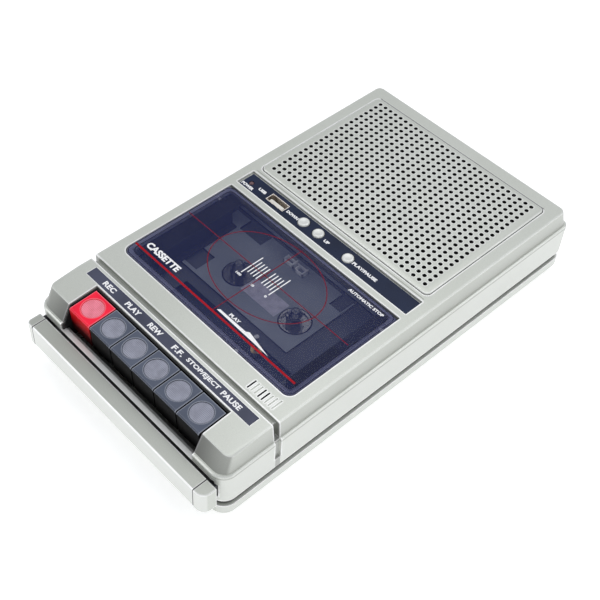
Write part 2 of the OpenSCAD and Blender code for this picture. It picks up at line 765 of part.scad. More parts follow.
// One key: hollow cap, finger disc recess and the lever that turns on the shaft
module key(index) {
    translate([first_key_x + index * key_pitch, 0, 0]) {
        difference() {
            along_x(-key_w / 2, key_w / 2) polygon([[key_back, key_bottom_z],
                [key_back, key_top_z(key_back)], [key_front + 0.7, key_top_z(key_front + 0.7)],
                [key_front, key_top_z(key_front) - 0.6], [key_front + 0.8, key_bottom_z]]);
            along_x(1.4 - key_w / 2, key_w / 2 - 1.4) polygon([[key_back - 1.4, key_bottom_z - 1],
                [key_back - 1.4, key_top_z(key_back - 1.4) - 2],
                [key_front + 1.6, key_top_z(key_front + 1.6) - 2], [key_front + 2.3, key_bottom_z - 1]]);
            translate([0, key_mid_y, key_top_z(key_mid_y) - 0.5]) rotate([key_slope, 0, 0])
                cylinder(r = disc_r, h = 3);
        }
        difference() {
            union() {
                along_x(-2.5, 2.5) translate(key_pivot) circle(key_hub_r);
                along_x(-1.6, 1.6) polygon([[key_pivot[0], lever_low_z], [-107, lever_low_z],
                    [-109, 26], [-109, key_top_z(-109) - 2], [-101, key_top_z(-101) - 2],
                    [-101, lever_top_z], [key_pivot[0], lever_top_z]]);
            }
            cross_bar(key_pivot, key_shaft_r + running_gap, -4, 4);
        }
    }
}

module key_rec() { color("#f04a5c") key(0); }
module key_play() { color(slate_colour) key(1); }
module key_rewind() { color(slate_colour) key(2); }
module key_fast_forward() { color(slate_colour) key(3); }
module key_stop_eject() { color(slate_colour) key(4); }
module key_pause() { color(slate_colour) key(5); }

module key_shaft() {
    color(metal_colour) cross_bar(key_pivot, key_shaft_r, -56.5, 56.5);
}

// Close-wound return springs that pull each lever up, drawn as stacked turns
module key_springs() {
    turn_h = 1;
    turns = 12;
    low_z = lever_top_z + 0.9;
    color(metal_colour) for (i = [0:5])
        translate([first_key_x + i * key_pitch, -86.2, low_z]) rotate_extrude()
            union() {
                translate([1, 0]) square([0.7, turns * turn_h]);
                for (j = [0:turns - 1]) translate([1.7, (j + 0.5) * turn_h]) circle(0.42);
            }
}

// ---- Loudspeaker ----

module speaker_basket() {
    color("#55585c") translate([speaker_pos[0], speaker_pos[1], 0]) rotate_extrude()
        polygon([[speaker_r, baffle_z], [speaker_r, 40.4], [32.6, 40.4], [21.5, 28.2], [21.5, 27],
            [8, 27], [8, 28.2], [20.3, 28.2], [31, 41], [31, baffle_z]]);
}

module speaker_cone() {
    color("#202224") translate([speaker_pos[0], speaker_pos[1], 0]) rotate_extrude()
        polygon([[30.6, 41.4], [30.6, 40.8], [9, 30.6], [0, 32.4], [0, 33.1], [9, 31.3]]);
}

module speaker_magnet() {
    color("#3c3d40") bar(speaker_pos, 20, 19, 27);
}

// ---- Electronics ----

module main_board() {
    color("#2f6b45") block(-64, 6, 6, 98, main_board_z, main_board_top_z);
    color("#26282c") {
        for (p = [[-50, 70], [-34, 88], [-12, 60], [-40, 34]]) bar(p, 4, main_board_top_z, 17.5);
        block(-30, -12, 38, 44, main_board_top_z, 13.4);
        block(-26, -10, 74, 90, main_board_top_z, 12);
    }
    color(metal_colour) {
        block(-14, 2, 14, 18, main_board_top_z, 24);
        bar(wheel_pos, 3.4, main_board_top_z, 17);
        bar(wheel_pos, 2.95, 16.9, wheel_top_z + 0.6);
    }
}

module control_board() {
    color("#2f6b45") difference() {
        block(-60, 28, 6.4, 19.6, board_z, board_top_z);
        translate([usb[0], usb[1], 0])
            block(-usb_w / 2 - 0.2, usb_w / 2 + 0.2, -usb_d / 2 - 0.2, usb_d / 2 + 0.2, 38, 42);
    }
    color("#26282c") for (p = button_pos)
        block(p[0] - 3, p[0] + 3, p[1] - 3, p[1] + 3, board_top_z, 42.2);
}

module usb_shell() {
    color(metal_colour) translate([usb[0], usb[1], 0]) difference() {
        block(-usb_w / 2, usb_w / 2, -usb_d / 2, usb_d / 2, 27.5, 45.9);
        block(0.4 - usb_w / 2, usb_w / 2 - 0.4, 0.4 - usb_d / 2, usb_d / 2 - 0.4, 28.2, 47);
    }
}

module usb_tongue() {
    color("#e8e6df") translate([usb[0], usb[1], 0]) block(-5, 5, -1.6, 0.3, 28.2, 44.6);
}

module power_led() {
    color("#7d2b30") {
        bar(led_pos, 1.5, board_top_z, 45.2);
        translate([led_pos[0], led_pos[1], 0]) intersection() {
            translate([0, 0, 44.4]) sphere(1.7);
            translate([0, 0, 45.1]) cylinder(r = 1.5, h = 2);
        }
    }
}

module push_button(index) {
    color("#dcdfe2") {
        bar(button_pos[index], button_r, 43, 46);
        translate([button_pos[index][0], button_pos[index][1], 46])
            cylinder(r1 = button_r, r2 = button_r - 0.6, h = 0.6);
    }
}

module button_down() { push_button(0); }
module button_up() { push_button(1); }
module button_play_pause() { push_button(2); }

module volume_wheel() {
    notches = 30;
    color(dark_colour) difference() {
        bar(wheel_pos, wheel_r, wheel_z, wheel_top_z);
        bar(wheel_pos, 3, wheel_z - 1, wheel_top_z + 1);
        for (i = [0:notches - 1])
            bar(wheel_pos + (wheel_r + 0.2) * [cos(i * 360 / notches), sin(i * 360 / notches)],
                0.55, wheel_z - 1, wheel_top_z + 1);
    }
}

// Earphone and microphone sockets behind one face plate
module audio_jacks() {
    color("#1d1e20") difference() {
        union() {
            block(jack_face_x, -66.3, jack_y[0] - 5, jack_y[1] + 5, jack_z - 4.4, jack_z + 4.4);
            for (y = jack_y) block(-66.4, -57, y - 5, y + 5, main_board_top_z, jack_z + 4.4);
        }
        for (y = jack_y) translate([jack_face_x - 0.8, y, jack_z]) rotate([0, 90, 0])
            cylinder(r = jack_r, h = 12.8);
    }
}

// Two-pin mains inlet
module ac_inlet() {
    color("#1d1e20") difference() {
        union() {
            block(inlet_x - 10, inlet_x + 10, inlet_back - 14.6, inlet_back, inlet_z - 6, inlet_z + 6);
            block(inlet_x - 4, inlet_x + 4, inlet_back - 12.6, inlet_back - 6.6, inner_floor_z,
                inlet_z - 5.9);
        }
        block(inlet_x - 6.8, inlet_x + 6.8, inlet_back - 12.6, inlet_back + 1, inlet_z - 3.8,
            inlet_z + 3.8);
    }
    color(metal_colour) for (side = [-1, 1])
        translate([inlet_x + side * 4.3, inlet_back - 13.1, inlet_z]) rotate([-90, 0, 0])
            cylinder(r = 1.2, h = 9.5);
}

module transformer() {
    color("#6d6f73") block(-56, -28, 104, 120, inner_floor_z, 27);
    color("#c9a03c") block(-51, -33, 101.5, 122.5, 9, 23);
}

module microphone() {
    color(metal_colour) bar([51, -77], 3, 40.5, deck_under_z);
}

top_case();
bottom_case();
speaker_grille();
grille_cloth();
control_panel();
key_label_strip();
key_bezel();
rubber_feet();
case_screws();
battery_door();
battery_contacts();
handle_bar();
handle_cap(0);  // handle_cap_left
handle_cap(1);  // handle_cap_right
handle_arms();
handle_guides();
lid_window();
cassette_holder();
lid_hinge_pins();
lid_latch();
cassette_well();
chassis_plate();
supply_spindle();
takeup_spindle();
capstan_bearing();
capstan_shaft();
flywheel();
motor();
motor_pulley();
drive_belt();
head_plate();
playback_head();
erase_head();
pinch_arm();
pinch_roller();
key_rec();
key_play();
key_rewind();
key_fast_forward();
key_stop_eject();
key_pause();
key_shaft();
key_springs();
speaker_basket();
speaker_cone();
speaker_magnet();
main_board();
control_board();
usb_shell();
usb_tongue();
power_led();
button_down();
button_up();
button_play_pause();
volume_wheel();
audio_jacks();
ac_inlet();
transformer();
microphone();
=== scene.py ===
import json
import math

import bmesh
import bpy
from mathutils import Matrix, Vector


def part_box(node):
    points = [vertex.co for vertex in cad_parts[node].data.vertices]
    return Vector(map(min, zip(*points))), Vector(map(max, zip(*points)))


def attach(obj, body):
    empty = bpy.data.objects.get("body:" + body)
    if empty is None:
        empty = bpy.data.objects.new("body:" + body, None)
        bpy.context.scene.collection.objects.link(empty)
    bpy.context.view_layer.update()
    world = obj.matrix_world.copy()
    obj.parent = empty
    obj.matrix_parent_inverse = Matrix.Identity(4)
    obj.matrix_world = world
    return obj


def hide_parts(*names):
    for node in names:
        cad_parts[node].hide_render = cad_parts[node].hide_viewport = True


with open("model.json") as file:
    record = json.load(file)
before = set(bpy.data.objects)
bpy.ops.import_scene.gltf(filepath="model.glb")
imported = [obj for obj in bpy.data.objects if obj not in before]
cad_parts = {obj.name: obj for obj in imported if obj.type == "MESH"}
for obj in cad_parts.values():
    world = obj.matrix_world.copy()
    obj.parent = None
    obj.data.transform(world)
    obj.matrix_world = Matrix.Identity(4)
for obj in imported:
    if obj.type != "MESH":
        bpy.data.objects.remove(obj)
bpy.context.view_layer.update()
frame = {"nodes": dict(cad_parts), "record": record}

MM = 0.001
X, Y, Z = 0, 1, 2
NODES = frame["nodes"]
BODY_OF = {n: b for b, ns in frame["record"]["behaviour"]["bodies"].items() for n in ns}
SLOT_OF = {s["node"]: s["material_slot"] for s in frame["record"]["subparts"]}


def add_object(name, data):
    made = bpy.data.objects.new(name, data)
    bpy.context.scene.collection.objects.link(made)
    return made


# ---------------------------------------------------------------- camera, light, floor

AZIMUTH, ELEVATION, ROLL = math.radians(46.59), math.radians(49.07), math.radians(1.92)
AIM = Vector((0.0080, -0.0411, 0.0460))
DISTANCE = 0.5645
LENS_MM, SENSOR_MM = 68.48, 36
SHIFT_X = 0.071
STUDIO_CENTRE = Vector((0, 0, 0.03))
SOFTBOXES = [       # name, place, size in metres, power in watts
    ("softbox_overhead", (-0.2, 0.6, 1.7), (1.3, 1.3), 7),
    ("softbox_back_right", (1.05, 0.9, 1.15), (0.8, 0.8), 3.5),
    ("softbox_front_left", (-0.9, -1.05, 1.1), (0.8, 0.8), 4),
    ("softbox_camera_side", (1.05, -1.1, 0.8), (1.0, 0.5), 3),
]
SKY_COLOUR, SKY_STRENGTH = (0.93, 0.95, 1, 1), 0.62
FLOOR_HALF, FLOOR_GLOW = 3, 0.4


def add_camera():
    """Camera that looks at AIM, turned a little about its line of sight."""
    back = Vector((math.sin(AZIMUTH) * math.cos(ELEVATION), -math.cos(AZIMUTH) * math.cos(ELEVATION),
                   math.sin(ELEVATION)))
    level_right = Vector((math.cos(AZIMUTH), math.sin(AZIMUTH), 0))
    right = math.cos(ROLL) * level_right + math.sin(ROLL) * back.cross(level_right)
    data = bpy.data.cameras.new("camera")
    data.lens, data.sensor_width = LENS_MM, SENSOR_MM
    data.shift_x = SHIFT_X
    data.clip_start = 0.01
    camera = add_object("camera", data)
    turn = Matrix((right, back.cross(right), back)).transposed().to_4x4()
    camera.matrix_world = Matrix.Translation(AIM + DISTANCE * back) @ turn
    bpy.context.scene.camera = camera


def add_softbox(name, place, size, power):
    data = bpy.data.lights.new(name, "AREA")
    data.shape = "RECTANGLE"
    data.size, data.size_y = size
    data.energy = power
    lamp = add_object(name, data)
    lamp.location = place
    lamp.rotation_euler = (Vector(place) - STUDIO_CENTRE).to_track_quat("Z", "Y").to_euler()


def add_studio():
    for softbox in SOFTBOXES:
        add_softbox(*softbox)
    world = bpy.data.worlds.new("studio")
    world.use_nodes = True
    sky = world.node_tree.nodes["Background"]
    sky.inputs["Color"].default_value = SKY_COLOUR
    sky.inputs["Strength"].default_value = SKY_STRENGTH
    bpy.context.scene.world = world
    bpy.context.scene.view_settings.view_transform = "Standard"

    corners = [(x * FLOOR_HALF, y * FLOOR_HALF, 0) for x, y in ((-1, -1), (1, -1), (1, 1), (-1, 1))]
    mesh = bpy.data.meshes.new("floor")
    mesh.from_pydata(corners, [], [(0, 1, 2, 3)])
    mesh.update()
    floor = add_object("floor", mesh)
    paper = Shader("floor_paper", (0.93, 0.93, 0.93), 0.6,
                   Emission_Color=(1, 1, 1, 1), Emission_Strength=FLOOR_GLOW)
    paper.colour_ramp(paper.noise(90, detail=3), (0.92, 0.92, 0.92), (0.94, 0.94, 0.94))
    mesh.materials.append(paper.material)


# ---------------------------------------------------------------- material helper

MIX_FACTOR, MIX_A, MIX_B, MIX_RESULT = 0, 6, 7, 2       # sockets of the Mix node when it mixes colours
EDGE_SPAN = (0.07, 0.3)     # share of shadowed directions where the painted edge highlight starts and is complete
BAND_SOFT = 0.15            # width over which a band fades out, in millimetres


class Shader:
    """A node material round one Principled shader. Textures are in the object's own metres."""

    def __init__(self, name, colour, roughness, **sockets):
        self.material = bpy.data.materials.new(name)
        self.material.use_nodes = True
        self.tree = self.material.node_tree
        self.bsdf = self.tree.nodes["Principled BSDF"]
        self.bsdf.inputs["Base Color"].default_value = (*colour, 1)
        self.bsdf.inputs["Roughness"].default_value = roughness
        for key, value in sockets.items():
            self.bsdf.inputs[key.replace("_", " ")].default_value = value
        self.coordinates = self.tree.nodes.new("ShaderNodeTexCoord")

    def node(self, kind, **settings):
        made = self.tree.nodes.new(kind)
        for key, value in settings.items():
            setattr(made, key, value)
        return made

    def link(self, source, target):
        self.tree.links.new(source, target)

    def paint(self, colour):
        self.link(colour, self.bsdf.inputs["Base Color"])

    # textures

    def noise(self, scale, detail=2.0, stretch=(1, 1, 1)):
        mapping = self.node("ShaderNodeMapping")
        mapping.inputs["Scale"].default_value = stretch
        self.link(self.coordinates.outputs["Object"], mapping.inputs["Vector"])
        made = self.node("ShaderNodeTexNoise")
        made.inputs["Scale"].default_value = scale
        made.inputs["Detail"].default_value = detail
        self.link(mapping.outputs["Vector"], made.inputs["Vector"])
        return made.outputs["Fac"]

    def ramp(self, source, stops):
        """Colour that changes between two stops, each a position and a colour."""
        made = self.node("ShaderNodeValToRGB")
        for element, (position, colour) in zip(made.color_ramp.elements, stops):
            element.position, element.color = position, (*colour, 1)
        self.link(source, made.inputs["Fac"])
        return made.outputs["Color"]

    def colour_ramp(self, source, low, high, span=(0.35, 0.65)):
        self.paint(self.ramp(source, [(span[0], low), (span[1], high)]))

    # arithmetic

    def math(self, operation, a, b=None):
        made = self.node("ShaderNodeMath", operation=operation)
        for socket, value in zip(made.inputs, (a, b)):
            if value is None:
                continue
            if isinstance(value, (int, float)):
                socket.default_value = value
            else:
                self.link(value, socket)
        return made.outputs["Value"]

    def times(self, *masks):
        result = masks[0]
        for mask in masks[1:]:
            result = self.math("MULTIPLY", result, mask)
        return result

    def mix(self, factor, a, b, blend="MIX"):
        made = self.node("ShaderNodeMix", data_type="RGBA", blend_type=blend)
        for index, value in ((MIX_FACTOR, factor), (MIX_A, a), (MIX_B, b)):
            socket = made.inputs[index]
            if isinstance(value, tuple):
                socket.default_value = (*value, 1)
            elif isinstance(value, (int, float)):
                socket.default_value = value
            else:
                self.link(value, socket)
        return made.outputs[MIX_RESULT]

    def map_range(self, value, low=0.0, high=1.0, to_low=0.0, to_high=1.0, curve="LINEAR"):
        made = self.node("ShaderNodeMapRange", interpolation_type=curve)
        for name, number in (("From Min", low), ("From Max", high), ("To Min", to_low), ("To Max", to_high)):
            made.inputs[name].default_value = number
        self.link(value, made.inputs["Value"])
        return made.outputs["Result"]

    # masks, from 0 to 1; where the first number of a pair is the greater one, the mask falls

    def part(self, output, axis):
        """One coordinate of the place or the surface direction, both in the object's own frame."""
        split = self.node("ShaderNodeSeparateXYZ")
        self.link(self.coordinates.outputs[output], split.inputs["Vector"])
        return split.outputs[axis]

    def step(self, value, zero, one):
        """A smooth change from 0 where value is zero to 1 where value is one."""
        return self.map_range(value, zero, one, curve="SMOOTHSTEP")

    def along(self, axis, zero, one):
        """Step along the object's own X, Y or Z, in millimetres."""
        return self.step(self.part("Object", axis), zero * MM, one * MM)

    def across(self, zero, one):
        """Step by the distance to either side of the object's middle, in millimetres."""
        return self.step(self.math("ABSOLUTE", self.part("Object", X)), zero * MM, one * MM)

    def facing(self, axis, zero, one):
        """Step by how far the surface faces along an axis."""
        return self.step(self.part("Normal", axis), zero, one)

    def band(self, axis, low, high):
        """1 where the object's X, Y or Z lies between low and high, in millimetres."""
        return self.times(self.along(axis, low - BAND_SOFT, low), self.along(axis, high + BAND_SOFT, high))

    def edges(self, reach):
        """1 along outward edges, fading to 0 within about reach, in millimetres."""
        inside = self.node("ShaderNodeAmbientOcclusion", inside=True, only_local=True, samples=6)
        inside.inputs["Distance"].default_value = reach * MM
        return self.step(self.math("SUBTRACT", 1.0, inside.outputs["AO"]), *EDGE_SPAN)

    def outside(self, mask, amount=1.0):
        """1 outside the mask and 1 - amount inside it."""
        return self.math("SUBTRACT", 1.0, self.math("MULTIPLY", mask, amount))

    def shaded(self, *zones):
        """Factor on the colour, from pairs of a mask and how much it darkens."""
        return self.times(*(self.outside(mask, amount) for mask, amount in zones))

    # roughness and relief

    def rough(self, source, low, high):
        self.link(self.map_range(source, to_low=low, to_high=high), self.bsdf.inputs["Roughness"])

    def bump(self, source, height_mm, strength):
        made = self.node("ShaderNodeBump")
        made.inputs["Strength"].default_value = strength
        made.inputs["Distance"].default_value = height_mm * MM
        self.link(source, made.inputs["Height"])
        self.link(made.outputs["Normal"], self.bsdf.inputs["Normal"])


# ---------------------------------------------------------------- mesh helpers

LATHE_STEPS = 48


def shade_smooth(mesh):
    mesh.polygons.foreach_set("use_smooth", [True] * len(mesh.polygons))


def soften(mesh, angle):
    """Smooth shading, with a sharp edge where the faces turn by more than the angle."""
    shade_smooth(mesh)
    mesh.set_sharp_from_angle(angle=math.radians(angle))


def new_piece(name, bm, material, body, smooth_angle=35):
    """Turns a bmesh in the model's own frame into a shaded piece that rides on a body."""
    mesh = bpy.data.meshes.new(name)
    bmesh.ops.recalc_face_normals(bm, faces=bm.faces)
    bm.to_mesh(mesh)
    bm.free()
    soften(mesh, smooth_angle)
    mesh.materials.append(material)
    piece = add_object(name, mesh)
    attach(piece, body)
    return piece


def add_prism(bm, outline, low, high):
    """Upright prism over a counter-clockwise outline of (x, y) points, in metres."""
    bottom = [bm.verts.new((x, y, low)) for x, y in outline]
    top = [bm.verts.new((x, y, high)) for x, y in outline]
    bm.faces.new(list(reversed(bottom)))
    bm.faces.new(top)
    bridge(bm, bottom, top)


def bridge(bm, low, high, material=0):
    """Faces between two rings with the same number of vertices."""
    for k in range(len(low)):
        n = (k + 1) % len(low)
        bm.faces.new((low[k], low[n], high[n], high[k])).material_index = material


def add_lathe(bm, centre, profile):
    """Closed solid of revolution round the upright axis at centre, from a profile of (radius, z)."""
    rings = []
    for radius, z in profile:
        if radius == 0:
            rings.append([bm.verts.new((centre[0], centre[1], z))])
            continue
        rings.append([bm.verts.new((centre[0] + radius * math.cos(2 * math.pi * k / LATHE_STEPS),
                                    centre[1] + radius * math.sin(2 * math.pi * k / LATHE_STEPS), z))
                      for k in range(LATHE_STEPS)])
    for low, high in zip(rings, rings[1:]):
        for k in range(LATHE_STEPS):
            n = (k + 1) % LATHE_STEPS
            corners = [low[k % len(low)], low[n % len(low)], high[n % len(high)], high[k % len(high)]]
            bm.faces.new(list(dict.fromkeys(corners)))


def chamfer(bm, width, angle=30):
    """Flat chamfer on every edge where the faces turn by more than the angle."""
    edges = [e for e in bm.edges if len(e.link_faces) == 2 and e.calc_face_angle(0) > math.radians(angle)]
    bmesh.ops.bevel(bm, geom=edges, offset=width, segments=1, profile=0.5, affect="EDGES",
                    clamp_overlap=True)


def rounded_outline(x0, x1, y0, y1, radius, steps):
    """Rectangle with rounded corners, from the front right corner round, steps points to a corner."""
    points = []
    for cx, cy, start in ((x1 - radius, y0 + radius, -90), (x1 - radius, y1 - radius, 0),
                          (x0 + radius, y1 - radius, 90), (x0 + radius, y0 + radius, 180)):
        for k in range(steps + 1):
            a = math.radians(start + 90 * k / steps)
            points.append((cx + radius * math.cos(a), cy + radius * math.sin(a)))
    return points


def rectangle(x0, x1, y0, y1):
    """Counter-clockwise outline in metres of a rectangle given in millimetres."""
    return [(x0 * MM, y0 * MM), (x1 * MM, y0 * MM), (x1 * MM, y1 * MM), (x0 * MM, y1 * MM)]


# ---------------------------------------------------------------- materials

# zones of painted shade and painted light on the case: ranges along X, Y or Z, or one limit, in millimetres
HANDLE_GAP_Y, HANDLE_GAP_Z = (-120.6, -118.6), (14.5, 29.8)
HANDLE_SEAM = (62.35, 62.85)                # between the handle's bar and its end caps
FLANK_Z, BEAD_FOOT_Z = (34.9, 45.1), (32.7, 33.3)
WALL_TOP_Z, JOINT_Z = 32.3, (10.3, 14.5)
CROSS_GROOVE_Y, CROSS_GROOVE_Z = (-85.7, -82.9), 44.2
SLOTS_X, SLOTS_Y, SLOTS_Z = ((44.15, 45.25), (51.2, 54.65)), (-81, -73.5), 45.6
SILL_Y, SILL_Z = (-119, -113), (26, 30.3)
CHEEK_Y = -113
GRILLE_RECESS_Y, GRILLE_RECESS_Z = (20.4, 127), 42.3
GRILLE_FRONT_LINE_Y, GRILLE_BACK_LINE_Y = (21.6, 21.95), (117.7, 118.2)
# other places, in millimetres
KEY_TOP_Z = 44.3
LID_HALF_WIDTH, LID_FRONT_Y, LID_BACK_Y = 59.8, -67.4, 0.4
TRAY_FLOOR_Z, TRAY_WALL_Z = 33.2, 33.9

# the last colour is the painted highlight on outward edges
SILVER_DULL, SILVER_BRIGHT, SILVER_HIGHLIGHT = (0.56, 0.58, 0.525), (0.61, 0.63, 0.58), (0.98, 0.98, 0.97)


def scaled(colour, factor):
    return tuple(c * factor for c in colour)


def silver_paint(name, shade=None, light=None):
    """Silver paint on moulded plastic: fine metal flake, a slow change of tone, a satin gloss and
    painted highlights along outward edges, in patches. shade returns a factor on the colour that
    paints shade, light a mask of places painted paler as painted light."""
    s = Shader(name, (0.6, 0.62, 0.57), 0.36, Metallic=0.4)
    fleck = s.noise(2600, detail=1)
    tone = s.ramp(s.noise(14, detail=4), [(0.3, SILVER_DULL), (0.7, SILVER_BRIGHT)])
    sparkle = s.ramp(fleck, [(0.35, (0.93, 0.93, 0.93)), (0.65, (1.0, 1.0, 1.0))])
    silver = s.mix(1.0, tone, sparkle, "MULTIPLY")
    # painted highlight: outward edges painted pale, in patches, joined by the painted light of the light mask
    patchy = s.ramp(s.noise(90, detail=3), [(0.3, (0.65, 0.65, 0.65)), (0.6, (1.0, 1.0, 1.0))])
    painted_light = s.times(s.edges(1.0), patchy)
    if light is not None:
        painted_light = s.math("MAXIMUM", painted_light, light(s))
    colour = s.mix(painted_light, silver, SILVER_HIGHLIGHT)
    # painted shade, as a factor on the colour
    if shade is not None:
        colour = s.mix(1.0, colour, shade(s), "MULTIPLY")
    s.paint(colour)
    s.rough(fleck, 0.28, 0.4)
    s.bump(fleck, 0.02, 0.25)
    return s.material


def handle_gap(s):
    """The narrow gap between the handle and the front wall, where no light gets in."""
    return s.times(s.across(67, 66.5), s.facing(Z, 0.6, 0.3), s.band(Y, *HANDLE_GAP_Y),
                   s.band(Z, *HANDLE_GAP_Z))


def top_case_shade(s):
    """Painted shade on the flanks, in the grooves, slots and speaker recess, along the speaker panel's edges,
    and on the cheeks beside the keys.
    """
    steep = s.facing(Z, 0.75, 0.5)
    flank = s.times(steep, s.band(Z, *FLANK_Z))
    lower = s.times(flank, s.along(Z, 45, 35))
    forward = s.times(flank, s.facing(Y, -0.3, -0.6))
    cheek = s.times(flank, s.across(68, 49), s.along(Y, CHEEK_Y + 2, CHEEK_Y))
    under_bead = s.times(steep, s.band(Z, *BEAD_FOOT_Z))
    groove = s.times(s.band(Y, *CROSS_GROOVE_Y), s.along(Z, CROSS_GROOVE_Z + 0.4, CROSS_GROOVE_Z))
    slot_columns = s.math("ADD", *(s.band(X, *slot) for slot in SLOTS_X))
    slots = s.times(slot_columns, s.band(Y, *SLOTS_Y), s.along(Z, SLOTS_Z + 0.3, SLOTS_Z))
    recess = s.times(steep, s.band(Y, *GRILLE_RECESS_Y), s.along(Z, GRILLE_RECESS_Z - 0.3, GRILLE_RECESS_Z),
                     s.across(66, 65))
    front_line = s.times(s.band(Y, *GRILLE_FRONT_LINE_Y), s.across(62, 61.8))
    back_line = s.times(s.band(Y, *GRILLE_BACK_LINE_Y), s.across(61, 60.4))
    return s.shaded((flank, 0.12), (lower, 0.15), (under_bead, 0.3), (groove, 0.4), (cheek, 0.5),
                    (forward, 0.4), (recess, 0.85), (front_line, 0.45), (back_line, 0.75), (slots, 0.97),
                    (handle_gap(s), 0.95))


def wall_light(s):
    """Painted light: upright walls below the bead are painted paler, and the sill in front of the keys more
    so.
    """
    key_bay = s.times(s.across(66.5, 66), s.along(Y, -120.5, -119.5))
    wall = s.times(s.facing(Z, 0.5, 0.2), s.along(Z, WALL_TOP_Z + 0.3, WALL_TOP_Z), s.outside(key_bay))
    sill = s.times(s.across(66, 65.5), s.band(Y, *SILL_Y), s.band(Z, *SILL_Z))
    return s.math("MAXIMUM", s.math("MULTIPLY", wall, 0.2), s.math("MULTIPLY", sill, 0.7))


def seam_shade(s):
    """Painted shade in the recess of the joint between the two halves of the case, and in the gap behind the
    handle.
    """
    joint = s.times(s.facing(Z, 0.6, 0.3), s.band(Z, *JOINT_Z))
    return s.shaded((joint, 0.85), (handle_gap(s), 0.95))


def handle_shade(s):
    """Painted shade: a darker top face, dark seams at the end caps and a dark back."""
    top = s.facing(Z, 0.9, 0.98)
    seam = s.times(s.across(HANDLE_SEAM[0] - BAND_SOFT, HANDLE_SEAM[0]),
                   s.across(HANDLE_SEAM[1] + BAND_SOFT, HANDLE_SEAM[1]))
    return s.shaded((top, 0.2), (seam, 0.8), (handle_gap(s), 0.95))


def handle_light(s):
    """Painted light: a pale front face and a paler rounded edge above it as a painted highlight."""
    forward = s.facing(Y, -0.25, -0.5)
    edge = s.times(forward, s.facing(Z, 0.2, 0.5))
    return s.math("MAXIMUM", s.math("MULTIPLY", forward, 0.3), edge)


def moulded(name, colour, roughness, lift=0.25, grain=900, **sockets):
    """Moulded plastic with a fine mould texture and an uneven tone, by lift of its brightness."""
    s = Shader(name, colour, roughness, **sockets)
    high = tuple(min(1, c * (1 + lift) + 0.002) for c in colour)
    s.colour_ramp(s.noise(60, detail=4), scaled(colour, 1 - 0.5 * lift), high)
    fine = s.noise(grain)
    s.rough(fine, max(0.02, roughness - 0.06), min(1, roughness + 0.06))
    s.bump(fine, 0.02, 0.2)
    return s.material


def key_plastic(name, top, front, fall, rim):
    """Key cap: satin plastic on top; the front and the sides carry painted shade, from front to black
    over fall mm, and the top edges a painted highlight in the colour rim.
    """
    s = Shader(name, top, 0.4, Specular_IOR_Level=0.06)
    face = s.ramp(s.noise(70, detail=4), [(0.3, scaled(top, 0.9)), (0.7, scaled(top, 1.1))])
    # painted shade: the front and sides darken towards black lower down
    height = s.map_range(s.part("Object", Z), (KEY_TOP_Z - fall) * MM, KEY_TOP_Z * MM)
    shaded_sides = s.ramp(height, [(0.0, scaled(front, 0.03)), (1.0, front)])
    shell = s.mix(s.facing(Z, 0.55, 0.85), shaded_sides, face)
    # painted highlight along the top edges
    painted_light = s.times(s.edges(0.6), s.along(Z, KEY_TOP_Z - 1.8, KEY_TOP_Z - 0.8))
    s.paint(s.mix(painted_light, shell, rim))
    fine = s.noise(1100)
    s.rough(fine, 0.34, 0.48)
    s.bump(fine, 0.02, 0.25)
    return s.material


def turned_metal(name, colour, roughness, stretch=(1, 1, 1)):
    """Bare metal with fine tool marks, drawn out along an axis by stretch."""
    s = Shader(name, colour, roughness, Metallic=1.0)
    brush = s.noise(700, detail=3, stretch=stretch)
    s.colour_ramp(brush, scaled(colour, 0.82), colour, (0.3, 0.7))
    s.rough(brush, max(0.05, roughness - 0.1), roughness + 0.12)
    s.bump(brush, 0.01, 0.3)
    return s.material


def woven_cloth(name):
    """Black acoustic cloth in a plain weave."""
    s = Shader(name, (0.012, 0.012, 0.013), 0.95)
    waves = []
    for direction in ("X", "Y"):
        wave = s.node("ShaderNodeTexWave", wave_type="BANDS", bands_direction=direction)
        wave.inputs["Scale"].default_value = 900
        s.link(s.coordinates.outputs["Object"], wave.inputs["Vector"])
        waves.append(wave.outputs["Fac"])
    weave = s.times(*waves)
    s.colour_ramp(weave, (0.001, 0.001, 0.001), (0.008, 0.008, 0.009), (0, 1))
    s.bump(weave, 0.1, 0.8)
    return s.material


def circuit_green(name):
    """Green solder mask with a grid of tracks under it."""
    s = Shader(name, (0.03, 0.16, 0.07), 0.35)
    tracks = s.node("ShaderNodeTexBrick")
    tracks.inputs["Scale"].default_value = 120
    tracks.inputs["Color1"].default_value = (0.02, 0.13, 0.05, 1)
    tracks.inputs["Color2"].default_value = (0.03, 0.18, 0.07, 1)
    tracks.inputs["Mortar"].default_value = (0.12, 0.3, 0.12, 1)
    s.link(s.coordinates.outputs["Object"], tracks.inputs["Vector"])
    s.paint(tracks.outputs["Color"])
    return s.material


def smoked_clear(name):
    """Smoked acrylic: a dark blue tint, mostly see-through, with a paler rim."""
    s = Shader(name, (0.03, 0.04, 0.13), 0.06, Alpha=0.3, Specular_IOR_Level=0.12)
    haze = s.ramp(s.noise(9, detail=3), [(0.35, (0.026, 0.033, 0.11)), (0.65, (0.036, 0.046, 0.14))])
    ends = s.across(LID_HALF_WIDTH - 0.6, LID_HALF_WIDTH)
    front = s.along(Y, LID_FRONT_Y + 0.6, LID_FRONT_Y)
    back = s.along(Y, LID_BACK_Y - 0.6, LID_BACK_Y)
    rim = s.math("MAXIMUM", s.math("MAXIMUM", ends, front), back)
    s.paint(s.mix(rim, haze, (0.2, 0.21, 0.38)))
    s.rough(s.noise(300, detail=5, stretch=(1, 6, 1)), 0.05, 0.1)
    return s.material


